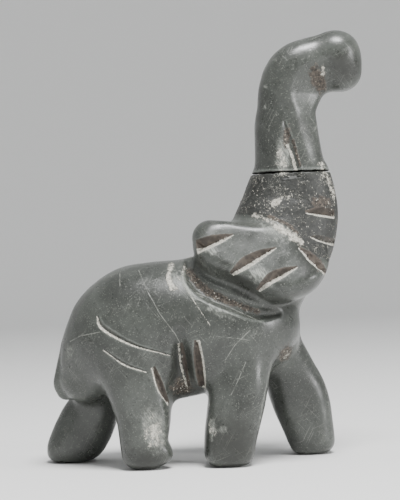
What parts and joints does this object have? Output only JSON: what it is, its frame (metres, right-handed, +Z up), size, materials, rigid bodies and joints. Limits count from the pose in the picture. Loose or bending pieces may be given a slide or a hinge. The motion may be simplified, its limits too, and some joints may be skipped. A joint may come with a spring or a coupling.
{
  "type": "soapstone elephant sculpture",
  "caption": "Hand-carved soapstone elephant ornament standing on its feet, trunk raised and curled forward over the brow, ears carved as grooved lobes, trunk broken once and glued back.",
  "frame": {"origin": "on the surface it stands on, under the middle of its bounding box", "axes": "+Z up, the elephant faces +X, its right flank is towards -Y"},
  "size_m": [0.0762, 0.0329, 0.0985],
  "materials": {
    "soapstone": "polished by hand, dulled by fine scratches"
  },
  "bodies": {
    "root": {"carving": "soapstone", "trunk_end": "soapstone"}
  },
  "joints": []
}
